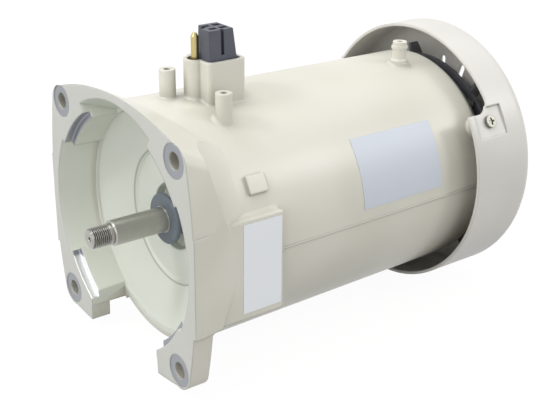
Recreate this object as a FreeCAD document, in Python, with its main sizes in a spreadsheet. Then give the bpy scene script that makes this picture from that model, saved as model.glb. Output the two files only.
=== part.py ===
# Pool-pump motor: square-flange, totally enclosed, fan-cooled permanent-magnet motor.
# Millimetres and degrees. +Z is up, the shaft lies along Y and points to -Y, and the origin is the
# centre of the mounting face on the shaft axis. Lengths along the shaft are given from that face.

import FreeCAD
import Part
import Sketcher
import math
import os
import re

SIZES = {
    # Mounting flange: four bolts on a square, corner blocks with a machined register
    "bolt_spacing": 130.18,
    "bolt_hole_radius": 5.2,
    "upper_bolt_hole_depth": 8.0,
    "spot_face_radius": 10.3,
    "spot_face_depth": 0.4,
    "flange_side_x": 77.0,
    "flange_side_top_z": 66.4,
    "flange_side_radius": 350.0,
    "flange_arch_x": 66.0,
    "flange_arch_z": 75.0,
    "flange_arch_radius": 205.0,
    "flange_corner_radius": 11.5,
    "hood_depth": 44.0,
    "hood_slope": 0.5,
    "cove_front_y": 13.0,
    "cove_front_radius": 104.0,
    "cove_rear_y": 46.0,
    "cove_rear_radius": 76.6,
    "cove_radius": 34.0,
    "hood_blend": 6.0,
    "left_post_blend": 1.0,
    "right_post_blend": 2.5,
    "seat_blend": 2.0,
    "tower_blend": 1.6,
    "pad_blend": 3.0,
    "lug_blend": 1.5,
    "hood_bottom_z": -16.0,
    "hood_side_x": 83.8,
    "side_taper_y": 31.0,
    "leg_side_x": 76.6,
    "leg_corner_z": -66.4,
    "leg_corner_radius": 11.6,
    "leg_foot_x": 62.5,
    "leg_foot_z": -76.3,
    "leg_foot_radius": 296.0,
    "leg_bottom_z": -78.4,
    "leg_inner_x": 40.0,
    "leg_depth": 13.0,
    "leg_top_z": -12.0,
    "leg_web": 8.0,
    "corner_block_radius": 70.8,
    "corner_block_outer_radius": 79.0,
    "corner_block_low_angle": 26.0,
    "corner_block_high_angle": 61.0,
    "cavity_side_radius": 77.5,
    "cavity_top_radius": 80.8,
    "cavity_side_angle": 30.5,
    "cavity_top_angle": 60.0,
    "cavity_relief": 6.0,
    "cavity_floor_margin": 2.8,
    "register_radius": 74.6,
    "register_depth": 5.0,

    # Barrel and its front wall, which dishes back to the bearing hub
    "barrel_front_radius": 77.5,
    "barrel_rear_radius": 74.2,
    "barrel_length": 241.0,
    "barrel_rear_round": 5.0,
    "barrel_lip_round": 2.5,
    "crown_front_y": 15.0,
    "crown_angle": 120,
    "wall_front_y": 24.5,
    "dish_radius": 70.2,
    "dish_edge_y": 25.6,
    "dish_inner_radius": 44.0,
    "dish_inner_y": 37.0,
    "dish_step": 2.0,
    "wall_thickness": 7.5,
    "hub_recess_radius": 21.5,
    "hub_recess_floor_y": 45.0,
    "seal_width": 4.0,
    "seal_radius": 13.5,
    "hub_wall": 7.0,
    "seam_width": 1.2,
    "seam_height": 0.7,

    # Side pads and small lugs on the barrel
    "pad_x": 79.2,
    "pad_top_z": 25.0,
    "pad_bottom_z": -37.0,
    "pad_length": 64.5,
    "lug_radius": 79.0,
    "lug_low_angle": 27.0,
    "lug_high_angle": 35.0,
    "lug_front_y": 47.5,
    "lug_length": 13.0,

    # Posts that carry the drive, and the standoff near the rear
    "post_radius": 5.0,
    "post_hole_radius": 2.1,
    "post_hole_depth": 13.0,
    "left_post_x": -2.5,
    "left_post_y": 39.0,
    "left_post_top_z": 94.0,
    "right_post_x": 34.3,
    "right_post_y": 54.2,
    "right_post_top_z": 86.0,
    "rear_post_x": 14.6,
    "rear_post_y": 210.5,
    "rear_post_top_z": 88.8,
    "rear_seat_z": 75.2,
    "rear_seat_radius": 6.4,
    "rear_stub_radius": 3.2,
    "rear_stub_height": 6.0,
    "rear_sleeve_radius": 4.7,
    "rear_sleeve_bore": 1.8,
    "rear_sleeve_ring_radius": 5.5,
    "rear_sleeve_ring_drop": 3.0,
    "rear_sleeve_ring_height": 1.6,

    # Connector tower on top of the barrel
    "tower_left_x": -4.5,
    "tower_right_x": 21.5,
    "tower_front_y": 53.0,
    "tower_rear_y": 79.5,
    "tower_top_z": 100.0,
    "tower_floor_z": 81.0,
    "tower_wall": 2.2,
    "tower_corner": 3.0,
    "pin_bulge_radius": 7.0,
    "pin_x": 4.8,
    "pin_y": 54.0,
    "pin_radius": 2.35,
    "pin_top_z": 115.2,
    "pin_tip": 2.2,
    "pin_collar_radius": 3.4,
    "pin_collar_height": 2.0,
    "pin_stud_radius": 1.9,
    "pin_stud_length": 4.0,
    "lead_passage_radius": 6.0,
    "connector_left_x": -2.0,
    "connector_right_x": 19.0,
    "connector_front_y": 55.4,
    "connector_rear_y": 77.0,
    "connector_top_z": 118.0,
    "connector_top_left_x": 0.5,
    "connector_top_right_x": 17.5,
    "connector_top_front_y": 55.6,
    "connector_top_rear_y": 72.6,
    "connector_notch_x": 9.4,
    "connector_notch_y": 59.6,
    "connector_slot_y": 65.0,
    "connector_slot_width": 2.2,
    "connector_slot_depth": 2.0,
    "connector_slot_height": 15.0,
    "socket_length": 5.4,
    "socket_width": 3.8,
    "socket_depth": 14.0,
    "socket_pitch": 7.2,
    "terminal_length": 4.0,
    "terminal_thickness": 0.8,
    "terminal_height": 9.0,

    # Rear end bell
    "bell_radius": 69.0,
    "bell_thickness": 5.0,
    "bell_spigot": 5.0,
    "bell_spigot_wall": 4.5,
    "bell_hub_radius": 24.5,
    "bell_hole_radius": 9.6,
    "bell_screw_circle": 66.6,
    "bell_screw_radius": 1.9,
    "bell_screw_length": 22.0,
    "bell_screw_head_radius": 3.4,
    "bell_screw_head_height": 2.6,
    "bell_rib_width": 3.0,
    "bell_rib_height": 2.0,
    "bell_ribs": 8,

    # Fan cover, whose axis lies a little above the shaft
    "cover_rise": 3.6,
    "cover_radius": 89.2,
    "cover_wall": 2.0,
    "cover_front_y": 217.0,
    "cover_rear_y": 270.0,
    "cover_round": 9.0,
    "cover_cut_y": 236.8,
    "cover_cut_angle": 34.0,
    "cover_cut_round": 9.0,
    "cover_upper_flat": 89.5,
    "cover_lower_flat": 83.0,
    "cover_lower_join": 0.9,
    "cover_flat_wall": 2.2,
    "cover_flat_width": 20.0,
    "cover_flat_length": 25.0,
    "cover_screw_y": 234.5,
    "cover_upper_angle": 30.0,
    "cover_screw_radius": 2.3,
    "cover_screw_length": 12.0,
    "cover_screw_head_radius": 4.2,
    "cover_screw_head_height": 2.4,
    "cover_lug_radius": 6.0,
    "grille_inner_radius": 22.0,
    "grille_outer_radius": 62.0,
    "grille_slot_width": 4.4,
    "grille_end_radius": 2.4,
    "grille_slots": 20,

    # Fan
    "fan_front_y": 250.5,
    "fan_plate": 2.0,
    "fan_plate_radius": 70.0,
    "fan_radius": 77.0,
    "fan_hub_radius": 13.0,
    "fan_hub_length": 12.0,
    "fan_blade_depth": 11.0,
    "fan_blade_thickness": 2.2,
    "fan_blades": 7,
    "fan_seat_radius": 6.0,
    "fan_ring_radius": 8.6,
    "fan_ring_width": 1.2,
    "fan_ring_groove": 1.0,
    "fan_ring_angle": 315,
    "fan_blade_bevel_width": 14.0,
    "fan_blade_bevel_depth": 6.0,

    # Shaft
    "shaft_end_y": -19.6,
    "thread_radius": 6.5,
    "thread_shoulder_y": -5.5,
    "thread_relief": 1.0,
    "thread_relief_depth": 0.6,
    "shaft_radius": 7.9375,
    "shaft_seal_radius": 8.5,
    "journal_margin": 0.6,
    "shaft_chamfer": 0.8,
    "shaft_collar_radius": 15.0,
    "shaft_collar_length": 6.0,
    "rotor_seat_radius": 16.0,
    "shaft_neck_radius": 11.0,

    # Slinger on the shaft in front of the hub
    "slinger_front_y": 31.6,
    "slinger_radius": 16.4,
    "slinger_rim": 3.4,
    "slinger_hub_radius": 10.8,
    "slinger_length": 8.2,
    "slinger_round": 1.5,

    # Ball bearings: front 25 x 52 x 15, rear 17 x 40 x 12
    "front_bearing_bore": 12.5,
    "front_bearing_radius": 26.0,
    "front_bearing_width": 15.0,
    "front_ball_radius": 3.95,
    "rear_bearing_bore": 8.5,
    "rear_bearing_radius": 20.0,
    "rear_bearing_width": 12.0,
    "rear_ball_radius": 3.35,
    "rear_bearing_front_y": 226.0,
    "race_ball_gap": 0.12,
    "race_shoulder": 0.62,
    "cage_thickness": 1.9,
    "cage_margin": 1.0,
    "balls": 8,
    "wave_spring_space": 2.6,
    "wave_spring_thickness": 0.6,
    "wave_spring_inner_radius": 15.8,
    "wave_spring_outer_radius": 19.4,
    "waves": 3,
    "retainer_thickness": 2.0,
    "retainer_overlap": 3.0,
    "retainer_screw_radius": 1.6,
    "retainer_screw_length": 10.0,
    "retainer_screw_head_radius": 2.6,
    "retainer_screw_head_height": 1.6,

    # Stator and rotor
    "stator_radius": 63.5,
    "core_front_y": 84.0,
    "core_rear_y": 184.0,
    "air_gap": 0.8,
    "rotor_core_radius": 33.0,
    "magnet_thickness": 4.0,
    "magnet_angle": 38.0,
    "magnets": 8,
    "rotor_hole_radius": 3.6,
    "rotor_hole_circle": 24.5,
    "rotor_holes": 6,
    "end_plate": 3.0,
    "slots": 12,
    "slot_bottom_radius": 54.0,
    "tooth_tip": 2.6,
    "slot_angle": 17.0,
    "slot_mouth": 2.6,
    "slot_liner": 0.3,
    "end_turn_gap": 2.0,
    "end_turn_length": 13.0,
    "end_turn_round": 4.0,
    "end_turn_inner_radius": 42.5,
    "end_turn_outer_radius": 56.5,

    # Labels
    "label_thickness": 0.25,
    "rating_label_front_y": 130.5,
    "rating_label_length": 67.0,
    "rating_label_low_angle": 5.6,
    "rating_label_high_angle": 39.8,
    "side_label_front_y": 36.1,
    "side_label_length": 27.0,
    "side_label_top_z": 23.0,
    "side_label_bottom_z": -33.0,

    # Clearances
    "seat_gap": 0.02,
    "running_gap": 0.08,
    "screw_gap": 0.3,
}

doc = FreeCAD.newDocument("pump_motor")
sheet = doc.addObject("Spreadsheet::Sheet", "Sizes")
for row, (alias, value) in enumerate(SIZES.items(), start=1):
    sheet.set(f"A{row}", alias)
    sheet.set(f"B{row}", str(value))
    sheet.setAlias(f"B{row}", alias)
reckoner = doc.addObject("Spreadsheet::Sheet", "Reckoner")
doc.recompute()

pieces = []
known_amounts = {}


def full(text):
    """The expression with every size named as a cell of the sheet."""
    return re.sub(
        r"[a-z][a-z_0-9]*",
        lambda word: "Sizes." + word.group() if word.group() in SIZES else word.group(),
        str(text),
    )


def amount(text):
    """The number that an expression of sizes comes to."""
    if text not in known_amounts:
        reckoner.set("A1", "=" + full(text))
        reckoner.recompute()
        known_amounts[text] = float(reckoner.get("A1"))
    return known_amounts[text]


def bind(item, path, text):
    item.setExpression(path, full(text))


def piece(label, separate=False):
    """A new body; a separate one may hold several solids that don't touch."""
    body = doc.addObject("PartDesign::Body", label)
    body.Label = label
    body.AllowCompound = separate
    body.Placement = FreeCAD.Placement()
    pieces.append(body)
    return body


def origin_item(body, role):
    return next(item for item in body.Origin.OriginFeatures if item.Role == role)


def sketch(body, plane, offset="0", shift_x="0", shift_y="0"):
    made = body.newObject("Sketcher::SketchObject", "Profile")
    made.AttachmentSupport = [(origin_item(body, plane), "")]
    made.MapMode = "FlatFace"
    bind(made, "AttachmentOffset.Base.z", offset)
    bind(made, "AttachmentOffset.Base.x", shift_x)
    bind(made, "AttachmentOffset.Base.y", shift_y)
    return made


def across(body, y, rise="0"):
    """A sketch square to the shaft at the length y: its axes are X and Z."""
    return sketch(body, "XZ_Plane", f"-({y})", "0", rise)


def level(body, z):
    """A level sketch at the height z: its axes are X and Y."""
    return sketch(body, "XY_Plane", z)


def facing(body, angle, distance):
    """A sketch whose normal points outwards at an angle about the shaft, at a distance from it."""
    made = body.newObject("Sketcher::SketchObject", "Profile")
    made.AttachmentSupport = [(origin_item(body, "XY_Plane"), "")]
    made.MapMode = "FlatFace"
    made.AttachmentOffset = FreeCAD.Placement(
        FreeCAD.Vector(), FreeCAD.Rotation(FreeCAD.Vector(0, 1, 0), 90.0 - amount(angle))
    )
    bind(made, "AttachmentOffset.Base.x", f"({distance}) * cos({angle})")
    bind(made, "AttachmentOffset.Base.z", f"({distance}) * sin({angle})")
    bind(made, "AttachmentOffset.Rotation.Angle", f"90 - ({angle})")
    return made


def hold(made, wanted):
    """Adds constraints to the sketch at once; wanted pairs each with its expression or None."""
    first = made.ConstraintCount
    made.addConstraint([constraint for constraint, _ in wanted])
    for index, (_, text) in enumerate(wanted, start=first):
        if text is not None:
            bind(made, f"Constraints[{index}]", text)


def located(item, spot, x, y):
    """What holds a point of the sketch at x and y from its origin."""
    return [
        (Sketcher.Constraint("DistanceX", -1, 1, item, spot, amount(x)), x),
        (Sketcher.Constraint("DistanceY", -1, 1, item, spot, amount(y)), y),
    ]


def draw(made, points):
    """Closed outline through points (x, y) or (x, y, radius). A radius makes the stretch that
    leaves the point an arc, which turns left where the radius is positive."""
    count = len(points)
    flat = [(amount(point[0]), amount(point[1])) for point in points]
    radii = [amount(point[2]) if len(point) > 2 else 0.0 for point in points]
    ends = []
    for index in range(count):
        start = FreeCAD.Vector(*flat[index], 0)
        stop = FreeCAD.Vector(*flat[(index + 1) % count], 0)
        radius = radii[index]
        if radius:
            chord = stop - start
            left = FreeCAD.Vector(-chord.y, chord.x, 0).normalize()
            rise = math.sqrt(radius * radius - chord.Length ** 2 / 4.0)
            centre = (start + stop) * 0.5 + left * math.copysign(rise, radius)
            circle = Part.Circle(centre, FreeCAD.Vector(0, 0, 1), abs(radius))
            first, last = (start, stop) if radius > 0 else (stop, start)
            sweep = [math.atan2(end.y - centre.y, end.x - centre.x) for end in (first, last)]
            if sweep[1] < sweep[0]:
                sweep[1] += 2.0 * math.pi
            item = made.addGeometry(Part.ArcOfCircle(circle, *sweep), False)
            ends.append((item, 1, 2) if radius > 0 else (item, 2, 1))
        else:
            item = made.addGeometry(Part.LineSegment(start, stop), False)
            ends.append((item, 1, 2))
    wanted = []
    for index, point in enumerate(points):
        item, start, stop = ends[index]
        following, next_start, _ = ends[(index + 1) % count]
        wanted.append((Sketcher.Constraint("Coincident", item, stop, following, next_start), None))
        wanted += located(item, start, point[0], point[1])
        if radii[index]:
            radius = Sketcher.Constraint("Radius", item, abs(radii[index]))
            wanted.append((radius, f"abs({point[2]})"))
    hold(made, wanted)
    return made


def round_hole(made, x, y, radius):
    """A circle in the sketch."""
    centre = FreeCAD.Vector(amount(x), amount(y), 0)
    item = made.addGeometry(Part.Circle(centre, FreeCAD.Vector(0, 0, 1), amount(radius)), False)
    size = Sketcher.Constraint("Radius", item, amount(radius))
    hold(made, located(item, 3, x, y) + [(size, radius)])
    return made


def box_outline(made, left, right, low, high):
    return draw(made, [(left, low), (right, low), (right, high), (left, high)])


def sector(made, inner, outer, start, stop):
    """Part of a ring about the sketch's origin, under half a turn."""
    corners = [(inner, stop), (inner, start), (outer, start), (outer, stop)]
    points = [(f"({size}) * cos({angle})", f"({size}) * sin({angle})") for size, angle in corners]
    points[0] += (f"-({inner})",)
    points[2] += (outer,)
    return draw(made, points)


def feature(body, kind):
    """A feature of the body that leaves its faces as they come; the last one tidies them all."""
    made = body.newObject(f"PartDesign::{kind}", kind)
    made.Refine = False
    return made


def grow(body, made, length, back=False, both=False):
    """Pads a sketch along its normal, or against it."""
    pad = feature(body, "Pad")
    pad.Profile = made
    bind(pad, "Length", length)
    pad.Reversed = back
    pad.Midplane = both
    return pad


def cut(body, made, length, back=False, both=False):
    """Cuts a sketch into the solid against its normal, or along it."""
    pocket = feature(body, "Pocket")
    pocket.Profile = made
    bind(pocket, "Length", length)
    pocket.Reversed = back
    pocket.Midplane = both
    return pocket


def revolve(body, made, angle="360", kind="Revolution", axis="V_Axis", both=False):
    """Turns a sketch about one of its own axes."""
    turned = feature(body, kind)
    turned.Profile = made
    turned.ReferenceAxis = (made, [axis])
    turned.Midplane = both
    bind(turned, "Angle", angle)
    return turned


def turn(body, points, angle="360", rise="0"):
    """Turns an outline of (radius, length) points about the shaft's line."""
    return revolve(body, draw(sketch(body, "XY_Plane", rise), points), angle)


def turn_out(body, points, rise="0"):
    """Removes what an outline of (radius, length) points sweeps about the shaft's line."""
    return revolve(body, draw(sketch(body, "XY_Plane", rise), points), kind="Groove")


def repeat(body, features, count, axis=None):
    """Repeats features evenly about the shaft, or about a sketch's normal."""
    pattern = feature(body, "PolarPattern")
    pattern.Originals = features
    pattern.Axis = axis or (origin_item(body, "Y_Axis"), [""])
    pattern.Angle = 360
    bind(pattern, "Occurrences", count)
    body.Tip = pattern
    return pattern


def mirror(body, features):
    """Mirrors features to the other side of the upright plane through the shaft."""
    pattern = feature(body, "Mirrored")
    pattern.Originals = features
    pattern.MirrorPlane = (origin_item(body, "YZ_Plane"), [""])
    body.Tip = pattern
    return pattern


def round_off(body, radius, wanted):
    """Rounds the edges of the body so far for which wanted(edge) holds."""
    doc.recompute()
    base = body.Tip
    names = [f"Edge{i}" for i, edge in enumerate(base.Shape.Edges, 1) if wanted(edge)]
    rounded = feature(body, "Fillet")
    rounded.Base = (base, names)
    bind(rounded, "Radius", radius)
    return rounded


def near(value, text, slack=0.05):
    return abs(value - amount(text)) < slack


def barrel_radius(y):
    """The barrel's radius at a length from the mounting face: it tapers to the rear."""
    return f"(barrel_front_radius - (barrel_front_radius - barrel_rear_radius) * ({y}) / barrel_length)"


# Places that several pieces share
JOURNAL_REAR = "(slinger_front_y - journal_margin)"
SEAL_REAR = "(hub_recess_floor_y + seal_width)"
FRONT_BEARING_REAR = f"({SEAL_REAR} + front_bearing_width)"
REAR_BEARING_REAR = "(rear_bearing_front_y + rear_bearing_width)"
BELL_SEAT_Y = f"({REAR_BEARING_REAR} + wave_spring_space)"
BELL_REAR = "(barrel_length + bell_thickness)"
HALF_BOLTS = "(bolt_spacing / 2)"
HUB_RADIUS = "(front_bearing_radius + hub_wall)"
RETAINER_SCREW_CIRCLE = "(front_bearing_radius + hub_wall / 2)"
MAGNET_RADIUS = "(rotor_core_radius + magnet_thickness)"
STATOR_BORE = f"({MAGNET_RADIUS} + air_gap)"
FAN_HUB_REAR = "(fan_front_y + fan_hub_length)"
SHAFT_REAR_Y = f"({FAN_HUB_REAR} + 3)"
STATOR_SEAT = "(stator_radius + seat_gap)"
SLOT_INNER = f"({STATOR_BORE} + tooth_tip + 1.5)"
RETAINER_REAR = f"({FRONT_BEARING_REAR} + retainer_thickness)"
BELL_SCREW_X = "(bell_screw_circle * cos(45))"
TOWER_MIDDLE_X = "((tower_left_x + tower_right_x) / 2)"
TOWER_MIDDLE_Y = "((tower_front_y + tower_rear_y) / 2)"
CONNECTOR_MIDDLE_X = "((connector_top_left_x + connector_top_right_x) / 2)"
CONNECTOR_MIDDLE_Y = "((connector_top_front_y + connector_top_rear_y) / 2 + 1)"
SOCKETS = [
    (f"({CONNECTOR_MIDDLE_X} + {i} * socket_pitch / 2)", f"({CONNECTOR_MIDDLE_Y} + {j} * socket_pitch / 2)")
    for i, j in ((-1, 1), (1, 1), (-1, -1), (1, -1))
]
COVER_LUGS = [
    ("cover_upper_angle", "cover_upper_flat", "0"),
    ("180 - cover_upper_angle", "cover_upper_flat", "0"),
    ("270", "cover_lower_flat", "cover_lower_join"),
]


def flange_upper(made):
    """Upper flange outline: straight bottom, bowed sides, round corners and an arched top."""
    return draw(made, [
        ("-hood_side_x", "hood_bottom_z"),
        ("hood_side_x", "hood_bottom_z", "flange_side_radius"),
        ("flange_side_x", "flange_side_top_z", "flange_corner_radius"),
        ("flange_arch_x", "flange_arch_z", "flange_arch_radius"),
        ("-flange_arch_x", "flange_arch_z", "flange_corner_radius"),
        ("-flange_side_x", "flange_side_top_z", "flange_side_radius"),
    ])


def flange_legs(made):
    """Lower flange outline: two legs with round outer corners and an open gap between them."""
    gap_top = "leg_bottom_z + 20"
    return draw(made, [
        ("-hood_side_x", "leg_top_z"),
        ("-hood_side_x", "hood_bottom_z", "flange_side_radius"),
        ("-leg_side_x", "leg_corner_z", "leg_corner_radius"),
        ("-leg_foot_x", "leg_foot_z", "leg_foot_radius"),
        ("-(leg_inner_x + 1)", "leg_bottom_z"),
        ("-leg_inner_x", gap_top),
        ("leg_inner_x", gap_top),
        ("leg_inner_x + 1", "leg_bottom_z", "leg_foot_radius"),
        ("leg_foot_x", "leg_foot_z", "leg_corner_radius"),
        ("leg_side_x", "leg_corner_z", "flange_side_radius"),
        ("hood_side_x", "hood_bottom_z"),
        ("hood_side_x", "leg_top_z"),
    ])


def tower_outline(made, inset):
    """Tower outline: a rounded rectangle, set in by a wall's thickness."""
    left = f"tower_left_x + {inset}"
    right = f"tower_right_x - {inset}"
    front = f"tower_front_y + {inset}"
    rear = f"tower_rear_y - {inset}"
    corner = f"(tower_corner - {inset} / 2)"
    return draw(made, [
        (f"{left} + {corner}", front),
        (f"{right} - {corner}", front, corner),
        (right, f"{front} + {corner}"),
        (right, f"{rear} - {corner}", corner),
        (f"{right} - {corner}", rear),
        (f"{left} + {corner}", rear, corner),
        (left, f"{rear} - {corner}"),
        (left, f"{front} + {corner}", corner),
    ])


def motor_housing():
    """Die-cast flange, barrel, posts and connector tower in one piece."""
    body = piece("motor_housing")

    # Hood: the upper flange runs back and slopes down on to the barrel
    hood = grow(body, flange_upper(across(body, "0")), "hood_depth", back=True)
    hood.UseCustomVector = True
    hood.AlongSketchNormal = True
    hood.Reversed = False
    hood.Direction = FreeCAD.Vector(0, 1, -SIZES["hood_slope"])
    bind(hood, "Direction.z", "-hood_slope")
    cheeks = box_outline(
        across(body, "0"), "-hood_side_x", "hood_side_x", "pad_bottom_z", "pad_top_z"
    )
    grow(body, cheeks, "hood_depth", back=True)

    # A cove runs round behind the flange, down on to the barrel
    turn_out(body, [
        ("cove_front_radius", "cove_front_y"),
        ("2 * cove_front_radius", "cove_front_y"),
        ("2 * cove_front_radius", "cove_rear_y"),
        ("cove_rear_radius", "cove_rear_y", "cove_radius"),
    ])

    # Solid barrel with a rounded front lip and rear edge, which runs on forwards under the hood
    lip_y = "(wall_front_y + barrel_lip_round)"
    round_y = "(barrel_length - barrel_rear_round)"
    turn(body, [
        ("0", "wall_front_y"),
        (f"{barrel_radius(lip_y)} - barrel_lip_round", "wall_front_y", "barrel_lip_round"),
        (barrel_radius(lip_y), lip_y),
        (barrel_radius(round_y), round_y, "barrel_rear_round"),
        (f"{barrel_radius(round_y)} - barrel_rear_round", "barrel_length"),
        ("0", "barrel_length"),
    ])
    crown = draw(sketch(body, "YZ_Plane"), [
        ("crown_front_y", "dish_radius"),
        ("2 * crown_front_y", "dish_radius"),
        ("2 * crown_front_y", barrel_radius("2 * crown_front_y")),
        ("crown_front_y", barrel_radius("crown_front_y")),
    ])
    revolve(body, crown, "crown_angle", axis="H_Axis", both=True)

    # Legs, with solid blocks behind their upper corners and a web under each side pad
    grow(body, flange_legs(across(body, "0")), "leg_depth", back=True)
    block = sector(
        across(body, "0"),
        "corner_block_radius - cavity_relief",
        "corner_block_outer_radius",
        "-corner_block_high_angle",
        "-corner_block_low_angle",
    )
    block = grow(body, block, "wall_front_y + barrel_lip_round", back=True)
    web = draw(sketch(body, "YZ_Plane", "leg_inner_x + leg_corner_radius"), [
        ("leg_depth - leg_web", "pad_bottom_z + leg_web"),
        ("leg_depth - leg_web", "pad_bottom_z - leg_web"),
        ("leg_depth", "pad_bottom_z - leg_web", "-leg_web"),
        ("leg_depth + leg_web", "pad_bottom_z"),
        ("leg_depth + leg_web", "pad_bottom_z + leg_web"),
    ])
    web = grow(body, web, "pad_x - leg_inner_x - leg_corner_radius")
    mirror(body, [block, web])
    pads = box_outline(across(body, "0"), "-pad_x", "pad_x", "pad_bottom_z", "pad_top_z")
    grow(body, pads, "pad_length", back=True)

    # The flange's sides taper in to the pads
    taper = draw(level(body, "flange_arch_z + flange_corner_radius"), [
        ("pad_x", "side_taper_y"),
        ("hood_side_x + 1", "0"),
        ("hood_side_x + 1", "hood_depth + 1"),
        ("pad_x", "hood_depth + 1"),
    ])
    taper = cut(body, taper, "2 * flange_arch_z + 2 * flange_corner_radius")
    mirror(body, [taper])

    # Small raised lug above each side pad
    lugs = sector(
        across(body, "lug_front_y"), "lug_radius - 8", "lug_radius", "lug_low_angle", "lug_high_angle"
    )
    lug = grow(body, lugs, "lug_length", back=True)

    # Parting seam along both sides of the barrel, from the pads to the rear round
    seam = draw(level(body, "0"), [
        (f"{barrel_radius('pad_length')} - 2", "pad_length"),
        (f"{barrel_radius('pad_length')} + seam_height", "pad_length"),
        (f"{barrel_radius(round_y)} + seam_height", round_y),
        (f"{barrel_radius(round_y)} - 2", round_y),
    ])
    ridge = grow(body, seam, "seam_width", both=True)
    mirror(body, [lug, ridge])

    # Posts for the drive, the seat of the rear standoff and the connector tower
    for side in ("left", "right"):
        post = round_hole(level(body, "stator_radius"), f"{side}_post_x", f"{side}_post_y", "post_radius")
        grow(body, post, f"{side}_post_top_z - stator_radius")
    seat = round_hole(level(body, "stator_radius"), "rear_post_x", "rear_post_y", "rear_seat_radius")
    grow(body, seat, "rear_seat_z - stator_radius")
    stub = round_hole(level(body, "rear_seat_z"), "rear_post_x", "rear_post_y", "rear_stub_radius")
    grow(body, stub, "rear_stub_height")
    tower = tower_outline(level(body, "stator_radius"), "0")
    grow(body, tower, "tower_top_z - stator_radius")
    bulge = round_hole(level(body, "stator_radius"), "pin_x", "pin_y", "pin_bulge_radius")
    grow(body, bulge, "tower_top_z - stator_radius")

    # Lugs that the fan cover screws on to
    for angle, flat, _ in COVER_LUGS:
        lug = round_hole(facing(body, angle, "stator_radius"), "0", "cover_screw_y", "cover_lug_radius")
        grow(body, lug, f"{flat} - cover_flat_wall - stator_radius")

    round_housing(body)

    # Front cavity: it narrows to the wall, and is wider at the sides and the top than at the blocks
    relief_inner = "corner_block_radius - cavity_relief"
    floor_radius = "dish_radius + cavity_floor_margin"
    turn_out(body, [
        ("0", "0"),
        ("corner_block_radius", "0"),
        ("dish_radius", "wall_front_y"),
        ("0", "wall_front_y"),
    ])
    top = draw(sketch(body, "YZ_Plane"), [
        ("0", relief_inner),
        ("wall_front_y - 2", relief_inner),
        ("wall_front_y - 2", floor_radius),
        ("0", "cavity_top_radius"),
    ])
    revolve(body, top, "180 - 2 * cavity_top_angle", "Groove", "H_Axis", both=True)
    side = draw(sketch(body, "XY_Plane"), [
        (relief_inner, "0"),
        ("cavity_side_radius", "0"),
        (floor_radius, "wall_front_y"),
        (relief_inner, "wall_front_y"),
    ])
    side = revolve(body, side, "2 * cavity_side_angle", "Groove", both=True)
    mirror(body, [side])
    gap = box_outline(across(body, "0"), "-leg_inner_x", "leg_inner_x", "leg_bottom_z - 1", "0")
    cut(body, gap, "wall_front_y")

    # Register: an arc machined into each corner block
    for low, high in (("cavity_side_angle - 4", "cavity_top_angle + 2"),
                      ("-(cavity_top_angle + 2)", "-(cavity_side_angle - 4)")):
        arc = sector(across(body, "0"), relief_inner, "register_radius", low, high)
        groove = cut(body, arc, "register_depth")
        mirror(body, [groove])

    # Bolt holes with spot faces
    for x in (HALF_BOLTS, f"-{HALF_BOLTS}"):
        for z, depth in ((HALF_BOLTS, "upper_bolt_hole_depth"), (f"-{HALF_BOLTS}", "hood_depth")):
            cut(body, round_hole(across(body, "0"), x, z, "bolt_hole_radius"), depth)
            cut(body, round_hole(across(body, "0"), x, z, "spot_face_radius"), "spot_face_depth")

    # Dished front wall, hub recess, seal bore and front bearing bore
    turn_out(body, [
        ("0", "wall_front_y - 2"),
        ("dish_radius", "wall_front_y - 2"),
        ("dish_radius", "dish_edge_y"),
        ("dish_inner_radius", "dish_inner_y"),
        ("dish_inner_radius - dish_step", "dish_inner_y + dish_step"),
        ("hub_recess_radius", "dish_inner_y + dish_step"),
        ("hub_recess_radius", "hub_recess_floor_y"),
        ("seal_radius + seat_gap", "hub_recess_floor_y"),
        ("seal_radius + seat_gap", SEAL_REAR),
        ("front_bearing_radius + seat_gap", SEAL_REAR),
        ("front_bearing_radius + seat_gap", FRONT_BEARING_REAR),
        ("0", FRONT_BEARING_REAR),
    ])

    # Inside of the barrel, round the outside of the hub
    turn_out(body, [
        ("0", FRONT_BEARING_REAR),
        (HUB_RADIUS, FRONT_BEARING_REAR),
        (HUB_RADIUS, "dish_inner_y + dish_step + wall_thickness + 3"),
        ("dish_inner_radius + 2", "dish_inner_y + wall_thickness"),
        (STATOR_SEAT, "dish_edge_y + wall_thickness + 2"),
        (STATOR_SEAT, "barrel_length"),
        ("0", "barrel_length"),
    ])

    # Tower cavity with its round corner for the earth pin, and the passage for the leads
    cut(body, tower_outline(level(body, "tower_top_z"), "tower_wall"), "tower_top_z - tower_floor_z")
    bulge = round_hole(level(body, "tower_top_z"), "pin_x", "pin_y", "pin_bulge_radius - tower_wall")
    cut(body, bulge, "tower_top_z - tower_floor_z")
    passage = round_hole(
        level(body, "tower_floor_z"), TOWER_MIDDLE_X, TOWER_MIDDLE_Y, "lead_passage_radius"
    )
    cut(body, passage, "tower_floor_z - stator_radius + 10")
    stud = round_hole(level(body, "tower_floor_z"), "pin_x", "pin_y", "pin_stud_radius + seat_gap")
    cut(body, stud, "pin_stud_length")

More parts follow.
